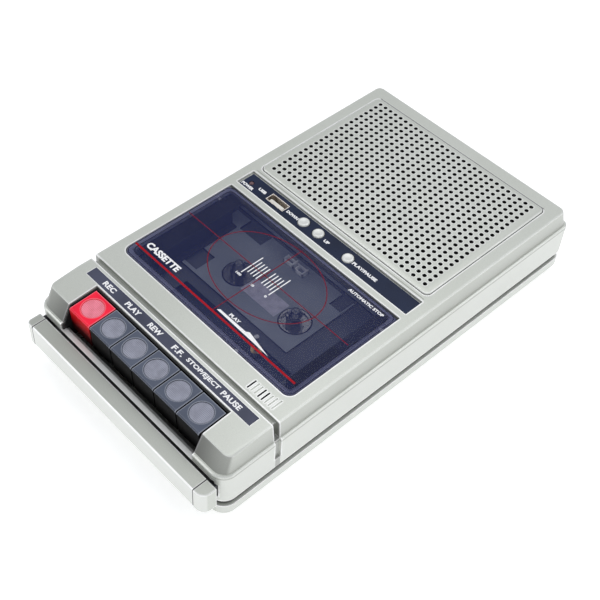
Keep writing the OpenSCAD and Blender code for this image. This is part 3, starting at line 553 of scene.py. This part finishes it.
def well_plastic(name):
    """Slate plastic of the cassette tray, with painted shade in its sunk floor and down its side walls."""
    s = Shader(name, (0.3, 0.33, 0.37), 0.5)
    tray = s.ramp(s.noise(35, detail=5), [(0.3, (0.24, 0.27, 0.31)), (0.7, (0.35, 0.385, 0.43))])
    # painted shade in the sunk floor and on the side walls
    sunk = s.along(Z, TRAY_FLOOR_Z + 0.7, TRAY_FLOOR_Z)
    wall = s.times(s.facing(Z, 0.7, 0.4), s.along(Z, TRAY_WALL_Z + 0.3, TRAY_WALL_Z))
    s.paint(s.mix(1.0, tray, s.shaded((sunk, 0.7), (wall, 0.9)), "MULTIPLY"))
    fine = s.noise(700, detail=3)
    s.rough(fine, 0.42, 0.6)
    s.bump(fine, 0.03, 0.3)
    return s.material


def printing_ink(name, colour):
    """Screen-printed ink, a little thin in places."""
    s = Shader(name, colour, 0.4, Specular_IOR_Level=0.15)
    s.colour_ramp(s.noise(1500, detail=3), scaled(colour, 0.85), colour)
    s.rough(s.noise(500), 0.3, 0.5)
    return s.material


def mottled_plastic(name, colour, hatch=0.0):
    """Satin plastic with a mottled tone and, if hatch isn't 0, cross-hatching of that pitch in mm."""
    s = Shader(name, colour, 0.5)
    bright = tuple(min(1, c * 1.12) for c in colour)
    mottle = s.ramp(s.noise(260, detail=4), [(0.35, scaled(colour, 0.88)), (0.65, bright)])
    if hatch:
        lines = []
        for axis in (X, Y):
            turns = s.math("MULTIPLY", s.part("Object", axis), 2 * math.pi / (hatch * MM))
            lines.append(s.step(s.math("SINE", turns), -1, 1))
        cross = s.math("ADD", 0.8, s.math("MULTIPLY", 0.35, s.times(*lines)))
        mottle = s.mix(1.0, mottle, cross, "MULTIPLY")
    s.paint(mottle)
    s.rough(s.noise(1200), 0.42, 0.6)
    return s.material


MATERIALS = {
    "case_silver": silver_paint("silver_paint"),
    "dark_plastic": moulded("dark_plastic", (0.022, 0.024, 0.03), 0.5),
    "black_plastic": moulded("black_plastic", (0.008, 0.008, 0.009), 0.45),
    "cloth": woven_cloth("acoustic_cloth"),
    "panel_navy": moulded("panel_navy", (0.006, 0.013, 0.04), 0.3, Specular_IOR_Level=0.2),
    "label_slate": moulded("label_slate", (0.05, 0.055, 0.09), 0.4, Specular_IOR_Level=0.3),
    "rubber": moulded("rubber", (0.02, 0.02, 0.021), 0.8),
    "steel": turned_metal("steel", (0.6, 0.6, 0.62), 0.3, (1, 12, 1)),
    "zinc": turned_metal("zinc", (0.45, 0.46, 0.48), 0.45),
    "ferrite": moulded("ferrite", (0.04, 0.04, 0.043), 0.7),
    "brass": turned_metal("brass", (0.68, 0.5, 0.22), 0.3),
    "window_smoke": smoked_clear("window_smoke"),
    "white_plastic": moulded("white_plastic", (0.78, 0.76, 0.7), 0.45, lift=0.1),
    # key fronts carry painted shade towards black; the last colour is the painted edge highlight
    "key_red": key_plastic("key_red", (0.95, 0.025, 0.06), (0.6, 0.002, 0.006), 11, (1.0, 0.2, 0.25)),
    "key_slate": key_plastic("key_slate", (0.1, 0.115, 0.155), (0.004, 0.004, 0.006), 1, (0.3, 0.32, 0.37)),
    "paper": moulded("speaker_paper", (0.02, 0.02, 0.021), 0.95, grain=400),
    "circuit_board": circuit_green("circuit_board"),
    "iron_core": turned_metal("iron_core", (0.25, 0.25, 0.26), 0.5, (1, 1, 30)),
    "led_red": moulded("led_red", (0.07, 0.015, 0.022), 0.15, Coat_Weight=1.0),
    "button_silver": moulded("button_silver", (0.7, 0.71, 0.68), 0.25, lift=0.05, Metallic=0.3),
}
WHITE_INK = printing_ink("white_ink", (1.0, 1.0, 1.0))
RED_INK = printing_ink("red_ink", (0.4, 0.002, 0.012))
# painted shade: dark lines round the lid's rim, laid down like ink
RIM_SHADE_LINES = printing_ink("rim_painted_shade", (0.008, 0.009, 0.03))
DARK_RED_INK = printing_ink("dark_red_ink", (0.2, 0.006, 0.022))
# painted shade: near-black walls inside the grille's holes
HOLE_SHADE = moulded("hole_painted_shade", (0.002, 0.002, 0.002), 0.8)
# painted shade: metal darkened for the chassis and heads under the lid
SHADED_METAL = turned_metal("metal_painted_shade", (0.06, 0.065, 0.08), 0.45, (12, 1, 1))
SPINDLE = moulded("spindle_plastic", (0.012, 0.015, 0.03), 0.2, Coat_Weight=1.0, Coat_IOR=2.4)
HANDLE_PAINT = silver_paint("handle_paint", handle_shade, handle_light)
# nodes that look different from their slot's usual finish
NODE_MATERIALS = {
    "top_case": silver_paint("top_case_paint", top_case_shade, wall_light),
    "bottom_case": silver_paint("bottom_case_paint", seam_shade, wall_light),
    "handle_bar": HANDLE_PAINT, "handle_cap_left": HANDLE_PAINT, "handle_cap_right": HANDLE_PAINT,
    "cassette_well": well_plastic("well_plastic"),
    # painted shade: the chassis and head plates under the lid are darkened
    "chassis_plate": SHADED_METAL, "head_plate": SHADED_METAL,
    "supply_spindle": SPINDLE, "takeup_spindle": SPINDLE,
    "usb_shell": turned_metal("nickel", (0.95, 0.88, 0.82), 0.25),
    # painted shade: the heads are darkened as well
    "playback_head": SHADED_METAL, "erase_head": MATERIALS["black_plastic"],
    "key_bezel": MATERIALS["black_plastic"],
}


# ---------------------------------------------------------------- CAD nodes

ROUNDED_MM = {              # nodes with small rounded edges
    "top_case": 0.35, "bottom_case": 0.4, "handle_bar": 0.3, "handle_cap_left": 0.4, "handle_cap_right": 0.4,
    "lid_window": 0.8, "control_panel": 0.2, "key_label_strip": 0.1, "battery_door": 0.2, "usb_shell": 0.1,
    "key_rec": 0.5, "key_play": 0.5, "key_rewind": 0.5, "key_fast_forward": 0.5, "key_stop_eject": 0.5,
    "key_pause": 0.5,
}
WELD_DISTANCE = 0.005 * MM


def dress_nodes():
    """Gives every CAD node its material, and those in ROUNDED_MM their rounded edges."""
    for name, node in NODES.items():
        node.data.materials.clear()
        node.data.materials.append(NODE_MATERIALS.get(name, MATERIALS[SLOT_OF[name]]))
        if name not in ROUNDED_MM:
            soften(node.data, 30)
            continue
        shade_smooth(node.data)
        node.modifiers.new("weld", "WELD").merge_threshold = WELD_DISTANCE
        flat = node.modifiers.new("flat", "DECIMATE")
        flat.decimate_type, flat.angle_limit = "DISSOLVE", math.radians(0.5)
        bevel = node.modifiers.new("edges", "BEVEL")
        bevel.width, bevel.segments = ROUNDED_MM[name] * MM, 2
        bevel.limit_method, bevel.angle_limit = "ANGLE", math.radians(28)
        bevel.use_clamp_overlap = True
        node.modifiers.new("normals", "WEIGHTED_NORMAL").keep_sharp = True


# ---------------------------------------------------------------- speaker grille

HOLE_PITCH, HOLE_R = 4 * MM, 1.0 * MM
HOLE_LIP, HOLE_LIP_DEPTH = 0.22 * MM, 0.25 * MM
HOLE_COLS, HOLE_ROWS = 29, 22
HOLE_SHIFT = (-0.35 * MM, 0.4 * MM)     # the field of holes isn't quite in the middle of the panel
CELL_STEPS = 16                         # points round a hole, and round the square cell it is in
SIDE_STEPS = CELL_STEPS // 4
PANEL_CORNER_R, PANEL_CORNER_STEPS = 3 * MM, 6
PANEL_RIM = [(0.9, 0), (0.42, 0.1), (0.12, 0.35), (0, 0.9)]     # inset and depth of the rolled rim, in mm


class Weld:
    """Hands out the same vertex for the same place, so that neighbouring cells share their corners."""

    def __init__(self, bm):
        self.bm, self.made = bm, {}

    def __call__(self, x, y, z):
        key = tuple(round(v * 1e7) for v in (x, y, z))
        if key not in self.made:
            self.made[key] = self.bm.verts.new((x, y, z))
        return self.made[key]


def grille_cell(bm, weld, x, y, top, base):
    """Square cell with a round-lipped hole through it. The hole's walls have the second material, painted
    black as shade.
    """
    turns = [2 * math.pi * k / CELL_STEPS for k in range(CELL_STEPS)]
    half = HOLE_PITCH / 2

    def square(z):
        return [weld(x + half * math.cos(a) / max(abs(math.cos(a)), abs(math.sin(a))),
                     y + half * math.sin(a) / max(abs(math.cos(a)), abs(math.sin(a))), z) for a in turns]

    def ring(radius, z):
        return [bm.verts.new((x + radius * math.cos(a), y + radius * math.sin(a), z)) for a in turns]

    outer_top, lip = square(top), ring(HOLE_R + HOLE_LIP, top)
    wall_top, wall_base = ring(HOLE_R, top - HOLE_LIP_DEPTH), ring(HOLE_R, base)
    bridge(bm, outer_top, lip)
    bridge(bm, lip, wall_top, 1)
    bridge(bm, wall_top, wall_base, 1)
    bridge(bm, wall_base, square(base))


def frame_faces(bm, outer, inner):
    """Flat frame between the panel's outline and the field of cells inside it, one face to each side."""
    outer_cut = [PANEL_CORNER_STEPS // 2 + k * (PANEL_CORNER_STEPS + 1) for k in range(4)]
    half_round = HOLE_ROWS + HOLE_COLS
    inner_cut = [SIDE_STEPS * cells for cells in (0, HOLE_ROWS, half_round, half_round + HOLE_ROWS)]
    for k in range(4):
        n = (k + 1) % 4
        outer_end = outer_cut[n] + (len(outer) if n == 0 else 0)
        inner_end = inner_cut[n] + (len(inner) if n == 0 else 0)
        run = [outer[i % len(outer)] for i in range(outer_cut[k], outer_end + 1)]
        run += [inner[i % len(inner)] for i in range(inner_end, inner_cut[k] - 1, -1)]
        bm.faces.new(run)


def cell_boundary():
    """Points on the outside of the field of cells, from its front right corner round, about its middle."""
    half_x, half_y = HOLE_COLS * HOLE_PITCH / 2, HOLE_ROWS * HOLE_PITCH / 2
    in_cell = [-1, -math.tan(math.pi / 8), 0, math.tan(math.pi / 8)]
    along_y = [HOLE_PITCH * (j + 0.5 + q / 2) - half_y for j in range(HOLE_ROWS) for q in in_cell]
    along_x = [HOLE_PITCH * (i + 0.5 + q / 2) - half_x for i in range(HOLE_COLS) for q in in_cell]
    return ([(half_x, y) for y in along_y] + [(-x, half_y) for x in along_x]
            + [(-half_x, -y) for y in along_y] + [(x, -half_y) for x in along_x])


def grille_panel():
    """Pressed speaker panel with a rolled rim and a field of holes."""
    low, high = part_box("speaker_grille")
    middle_x = (low.x + high.x) / 2 + HOLE_SHIFT[0]
    middle_y = (low.y + high.y) / 2 + HOLE_SHIFT[1]
    top, base = high.z, low.z
    bm = bmesh.new()
    weld = Weld(bm)
    for i in range(HOLE_COLS):
        for j in range(HOLE_ROWS):
            grille_cell(bm, weld, middle_x + (i - (HOLE_COLS - 1) / 2) * HOLE_PITCH,
                        middle_y + (j - (HOLE_ROWS - 1) / 2) * HOLE_PITCH, top, base)

    def outline(inset, z):
        return [bm.verts.new((x, y, z)) for x, y in rounded_outline(
            low.x + inset, high.x - inset, low.y + inset, high.y - inset,
            PANEL_CORNER_R - inset, PANEL_CORNER_STEPS)]

    rims = [outline(inset * MM, top - depth * MM) for inset, depth in PANEL_RIM] + [outline(0, base)]
    for upper, lower in zip(rims, rims[1:]):
        bridge(bm, upper, lower)
    for rim, z in ((rims[0], top), (rims[-1], base)):
        frame_faces(bm, rim, [weld(middle_x + x, middle_y + y, z) for x, y in cell_boundary()])
    piece = new_piece("grille_panel", bm, MATERIALS["case_silver"], "housing", 25)
    # painted shade: black walls in the holes
    piece.data.materials.append(HOLE_SHADE)
    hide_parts("speaker_grille")


# ---------------------------------------------------------------- keys and buttons

KEYS = ["rec", "play", "rewind", "fast_forward", "stop_eject", "pause"]
KEY_DEPTH, KEY_FALL = 16.6 * MM, 0.8 * MM           # front to back, and the fall of the top face
DISC_R, DISC_SUNK, DISC_BASE = 5.8 * MM, 0.2 * MM, -0.5 * MM
DISC_BACK = 0.3 * MM                                # the disc's place behind the middle of the key
LIP_HEIGHT, LIP_OUTER, LIP_INNER, LIP_FOOT = 0.08 * MM, 0.1 * MM, 0.35 * MM, 0.4 * MM
HATCH_MM = 0.8
HATCH_PITCH, HATCH_HEIGHT, HATCH_SUNK = HATCH_MM * MM, 0.14 * MM, 0.02 * MM

BUTTON_CHAMFER, BUTTON_ROLL, BUTTON_ROLL_HEIGHT, BUTTON_ROLL_STEPS = 0.2 * MM, 0.9 * MM, 1.0 * MM, 7
BUTTON_DISH = [(0.6, 0.03), (0.4, 0.1), (0, 0.16)]  # share of the radius, and depth in mm


def hatched_disc():
    """Turned disc with a thin lip round a field of small pyramids, about the origin."""
    bm = bmesh.new()
    top = -DISC_SUNK - HATCH_HEIGHT
    add_lathe(bm, (0, 0), [(0, DISC_BASE), (DISC_R, DISC_BASE), (DISC_R, top),
                           (DISC_R - LIP_OUTER, top + LIP_HEIGHT), (DISC_R - LIP_INNER, top + LIP_HEIGHT),
                           (DISC_R - LIP_FOOT, top), (0, top)])
    reach = int(DISC_R / HATCH_PITCH)
    for i in range(-reach, reach):
        for j in range(-reach, reach):
            corners = [((i + a) * HATCH_PITCH, (j + b) * HATCH_PITCH)
                       for a, b in ((0, 0), (1, 0), (1, 1), (0, 1))]
            if max(math.hypot(*corner) for corner in corners) > DISC_R - LIP_FOOT:
                continue
            ring = [bm.verts.new((x, y, top - HATCH_SUNK)) for x, y in corners]
            tip = bm.verts.new(((i + 0.5) * HATCH_PITCH, (j + 0.5) * HATCH_PITCH, top + HATCH_HEIGHT))
            bm.faces.new(ring[::-1])
            for k in range(4):
                bm.faces.new((ring[k], ring[(k + 1) % 4], tip))
    return bm


def finger_discs():
    """Cross-hatched discs let into the sloping tops of the keys."""
    pink = mottled_plastic("disc_pink", (1.0, 0.25, 0.33), HATCH_MM)
    slate = mottled_plastic("disc_grey", (0.3, 0.31, 0.38), HATCH_MM)
    tilt = Matrix.Rotation(math.atan2(KEY_FALL, KEY_DEPTH), 4, "X")
    for key in KEYS:
        node = "key_" + key
        low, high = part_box(node)
        place = ((low.x + high.x) / 2, low.y + KEY_DEPTH / 2 + DISC_BACK,
                 high.z - KEY_FALL * (KEY_DEPTH / 2 - DISC_BACK) / KEY_DEPTH)
        bm = hatched_disc()
        bmesh.ops.transform(bm, verts=bm.verts, matrix=Matrix.Translation(place) @ tilt)
        new_piece("finger_disc_" + key, bm, pink if key == "rec" else slate, BODY_OF[node], 20)


def button_caps():
    """Domed silver buttons with a rolled rim and a shallow finger dish."""
    for name in ("down", "up", "play_pause"):
        node = "button_" + name
        low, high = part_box(node)
        radius, top = (high.x - low.x) / 2, high.z
        roll_base = top - BUTTON_ROLL_HEIGHT
        profile = [(0, low.z), (radius - BUTTON_CHAMFER, low.z), (radius, low.z + BUTTON_CHAMFER),
                   (radius, roll_base)]
        for k in range(1, BUTTON_ROLL_STEPS + 1):
            a = math.radians(90 * k / BUTTON_ROLL_STEPS)
            profile.append((radius - BUTTON_ROLL + BUTTON_ROLL * math.cos(a),
                            roll_base + BUTTON_ROLL_HEIGHT * math.sin(a)))
        profile += [(share * radius, top - depth * MM) for share, depth in BUTTON_DISH]
        bm = bmesh.new()
        add_lathe(bm, ((low.x + high.x) / 2, (low.y + high.y) / 2), profile)
        piece = new_piece("push_" + name, bm, MATERIALS["button_silver"], BODY_OF[node], 60)
        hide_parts(node)


# ---------------------------------------------------------------- printing

INK = 0.03 * MM             # thickness of printed ink
KEY_WORD_Y = (-92.6, -89.5)
KEY_WORDS = [               # word, left and right end in mm
    ("REC", -50.6, -41.9), ("PLAY", -32.7, -22.2), ("REW", -14.9, -5.5), ("F.F.", 3.4, 11.0),
    ("STOP/EJECT", 13.7, 37.0), ("PAUSE", 39.2, 52.1)]
CONTROL_WORDS = [           # word, and its box as x0, x1, y0, y1 in mm
    ("POWER", -60.9, -52.2, 8.9, 10.9), ("USB", -50.9, -45.5, 12.2, 14.3), ("DOWN", -28.4, -19.9, 11.9, 13.9),
    ("UP", -0.1, 3.5, 11.8, 13.8), ("PLAY/PAUSE", 21.0, 37.7, 11.8, 13.9)]
LID_WORDS = [
    ("100", -13.0, -9.4, -37.4, -35.9), ("50", -1.9, 0.4, -37.5, -36.0), ("0", 8.4, 9.8, -37.5, -36.0),
    ("PLAY", 6.3, 13.6, -58.5, -56.6), ("AUTOMATIC STOP", 32.8, 56.5, -2.8, -0.9),
    ("CASSETTE", -57.0, -32.4, -60.2, -56.0)]
KEY_WORD_WEIGHT, CONTROL_WORD_WEIGHT, LID_WORD_WEIGHT = 0.035, 0.05, 0.045

# lines on the lid, in mm: boxes are x0, x1, y0, y1
BOLD_LINE = (-61.9, 58, -63.2, -62.0)
FINE_LINES = [(-61, 58, -27.85, -27.35), (-1.75, -1.25, -62.0, -1.4)]
ELLIPSE_CENTRE, ELLIPSE_AXES, ELLIPSE_LINE, ELLIPSE_STEPS = (-0.6, -27.2), (35.3, 25.0), 0.5, 96
SCALE_X, SCALE_PITCH, SCALE_HALF_BAR, SCALE_BARS = -0.8, 2.05, 0.3, 5
SCALE_BAR_Y, SCALE_END_BAR_Y = (-32.5, -22.6), (-35.0, -20.0)
ARROW = [(-0.3, -60.4), (37.9, -61.2), (21.2, -57.9), (19.6, -59.1), (0.8, -59.1)]
# two dark lines of painted shade round the lid's rim
RIM_BOX, RIM_INSETS, RIM_LINE, RIM_CORNER_R, RIM_STEPS = (-62.1, 62.1, -70, 2.9), (2.6, 0.35), 0.3, 4.0, 8


def word_mesh(word, weight):
    """Mesh of a word in the built-in sans face, one unit high, with a little weight added."""
    curve = bpy.data.curves.new("word", "FONT")
    curve.body, curve.size, curve.extrude, curve.offset = word, 1, 0.01, weight
    curve.resolution_u = 3
    text = add_object("word", curve)
    bpy.context.view_layer.update()
    mesh = bpy.data.meshes.new_from_object(text.evaluated_get(bpy.context.evaluated_depsgraph_get()))
    bpy.data.objects.remove(text)
    bpy.data.curves.remove(curve)
    return mesh


def add_word(bm, word, x0, x1, y0, y1, z, weight):
    """Adds a word stretched to fill a box, given in millimetres, on the plane at z."""
    mesh = word_mesh(word, weight)
    corners = [v.co for v in mesh.vertices]
    low = Vector([min(c[k] for c in corners) for k in range(3)])
    high = Vector([max(c[k] for c in corners) for k in range(3)])
    for vert in mesh.vertices:
        share = [(vert.co[k] - low[k]) / (high[k] - low[k]) for k in range(3)]
        vert.co = (MM * (x0 + (x1 - x0) * share[0]), MM * (y0 + (y1 - y0) * share[1]), z + INK * share[2])
    bm.from_mesh(mesh)
    bpy.data.meshes.remove(mesh)


def print_words(name, words, z, weight):
    """One piece of white print on the housing, from words and their boxes."""
    bm = bmesh.new()
    for word, x0, x1, y0, y1 in words:
        add_word(bm, word, x0, x1, y0, y1, z, weight)
    new_piece(name, bm, WHITE_INK, "housing", 30)


def housing_words():
    """Words above the keys and on the control panel."""
    print_words("key_words", [(*word, *KEY_WORD_Y) for word in KEY_WORDS],
                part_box("key_label_strip")[1].z, KEY_WORD_WEIGHT)
    print_words("control_words", CONTROL_WORDS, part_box("control_panel")[1].z, CONTROL_WORD_WEIGHT)


def add_ink_loop(bm, inner, outer, z):
    """Closed line of ink between two outlines with the same number of points, in millimetres."""
    rings = [[bm.verts.new((x * MM, y * MM, height)) for x, y in outline]
             for height in (z, z + INK) for outline in (inner, outer)]
    for k, other in ((0, 1), (1, 3), (3, 2), (2, 0)):
        bridge(bm, rings[k], rings[other])


def ellipse(offset):
    """Points of the lid's ellipse, made wider and longer by the offset, in millimetres."""
    turns = [2 * math.pi * k / ELLIPSE_STEPS for k in range(ELLIPSE_STEPS)]
    return [(ELLIPSE_CENTRE[0] + (ELLIPSE_AXES[0] + offset) * math.cos(a),
             ELLIPSE_CENTRE[1] + (ELLIPSE_AXES[1] + offset) * math.sin(a)) for a in turns]


def rim_outline(inset, corner_r):
    """Rounded outline that lies inset mm inside the lid's own, in millimetres."""
    x0, x1, y0, y1 = RIM_BOX
    return rounded_outline(x0 + inset, x1 - inset, y0 + inset, y1 - inset, corner_r, RIM_STEPS)


def lid_print():
    """Lines, ellipse, scale, arrow and words printed on the lid, and two dark lines of painted shade round
    its rim.
    """
    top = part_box("lid_window")[1].z
    bold, fine, white, rim = bmesh.new(), bmesh.new(), bmesh.new(), bmesh.new()
    add_prism(bold, rectangle(*BOLD_LINE), top, top + INK)
    for line in FINE_LINES:
        add_prism(fine, rectangle(*line), top, top + INK)
    add_ink_loop(fine, ellipse(-ELLIPSE_LINE / 2), ellipse(ELLIPSE_LINE / 2), top)
    for side in (-1, 1):
        for k in range(1, SCALE_BARS + 1):
            x = SCALE_X + side * SCALE_PITCH * k
            y0, y1 = SCALE_END_BAR_Y if k == SCALE_BARS else SCALE_BAR_Y
            add_prism(white, rectangle(x - SCALE_HALF_BAR, x + SCALE_HALF_BAR, y0, y1), top, top + INK)
    add_prism(white, [(x * MM, y * MM) for x, y in ARROW], top, top + INK)
    for word in LID_WORDS:
        add_word(white, *word, top, LID_WORD_WEIGHT)
    # painted shade round the rim
    for inset in RIM_INSETS:
        add_ink_loop(rim, rim_outline(inset + RIM_LINE, RIM_CORNER_R - RIM_LINE),
                     rim_outline(inset, RIM_CORNER_R), top)
    new_piece("lid_rim_shade_lines", rim, RIM_SHADE_LINES, "lid", 30)
    new_piece("lid_bold_line", bold, RED_INK, "lid", 30)
    new_piece("lid_fine_lines", fine, DARK_RED_INK, "lid", 30)
    new_piece("lid_scale", white, WHITE_INK, "lid", 30)


# ---------------------------------------------------------------- inside the cassette bay

TRAY_RISE = 4 * MM                      # from the underside of the tray to its raised floor
CARD_BOX, CARD_CORNER_R, CARD_THICK = (-11.2, 14, -35.2, -24.2), 0.4, 0.12 * MM
CLIP_CHAMFER = 0.12 * MM
CLIP_BARS = [                           # x0, x1, y0, y1 and height in mm
    (-11, -3.6, -5.6, -4.9, 2.2), (-11, -10.3, -5.6, -1.6, 2.2), (-4.3, -3.6, -5.6, -1.6, 3.2),
    (-11, 4.2, -2.3, -1.6, 1.6), (-1.6, 4.2, -6.2, -5.5, 2.0), (3.5, 4.2, -6.2, -1.6, 2.6),
    (-1.6, -0.9, -6.2, -3.2, 2.6)]
CONTACT_HALF, CONTACT_THICK, CONTACT_DEEP, CONTACT_SHORT = 0.5 * MM, 0.06 * MM, 8 * MM, 0.6 * MM
CONTACTS, CONTACT_CHAMFER = 4, 0.02 * MM


def well_fittings():
    """Card label and clear tape clip that show through the lid."""
    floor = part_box("cassette_well")[0].z + TRAY_RISE
    label = bmesh.new()
    outline = [(x * MM, y * MM) for x, y in rounded_outline(*CARD_BOX, CARD_CORNER_R, 3)]
    add_prism(label, outline, floor, floor + CARD_THICK)
    new_piece("well_label", label, mottled_plastic("label_card", (0.62, 0.6, 0.72)), "housing")

    clip = bmesh.new()
    for x0, x1, y0, y1, height in CLIP_BARS:
        add_prism(clip, rectangle(x0, x1, y0, y1), floor, floor + height * MM)
    chamfer(clip, CLIP_CHAMFER)
    clear = mottled_plastic("clip_plastic", (0.85, 0.86, 0.92))
    new_piece("tape_clip", clip, clear, "housing")


def usb_contacts():
    """Gold contacts on the front of the USB tongue."""
    low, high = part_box("usb_tongue")
    pitch = (high.x - low.x) / CONTACTS
    bm = bmesh.new()
    for k in range(CONTACTS):
        x = low.x + (k + 0.5) * pitch
        x0, x1, y0, y1 = x - CONTACT_HALF, x + CONTACT_HALF, low.y - CONTACT_THICK, low.y
        add_prism(bm, [(x0, y0), (x1, y0), (x1, y1), (x0, y1)], high.z - CONTACT_DEEP, high.z - CONTACT_SHORT)
    chamfer(bm, CONTACT_CHAMFER)
    new_piece("usb_contacts", bm, MATERIALS["brass"], "housing")


add_camera()
add_studio()
dress_nodes()
grille_panel()
finger_discs()
button_caps()
housing_words()
lid_print()
well_fittings()
usb_contacts()
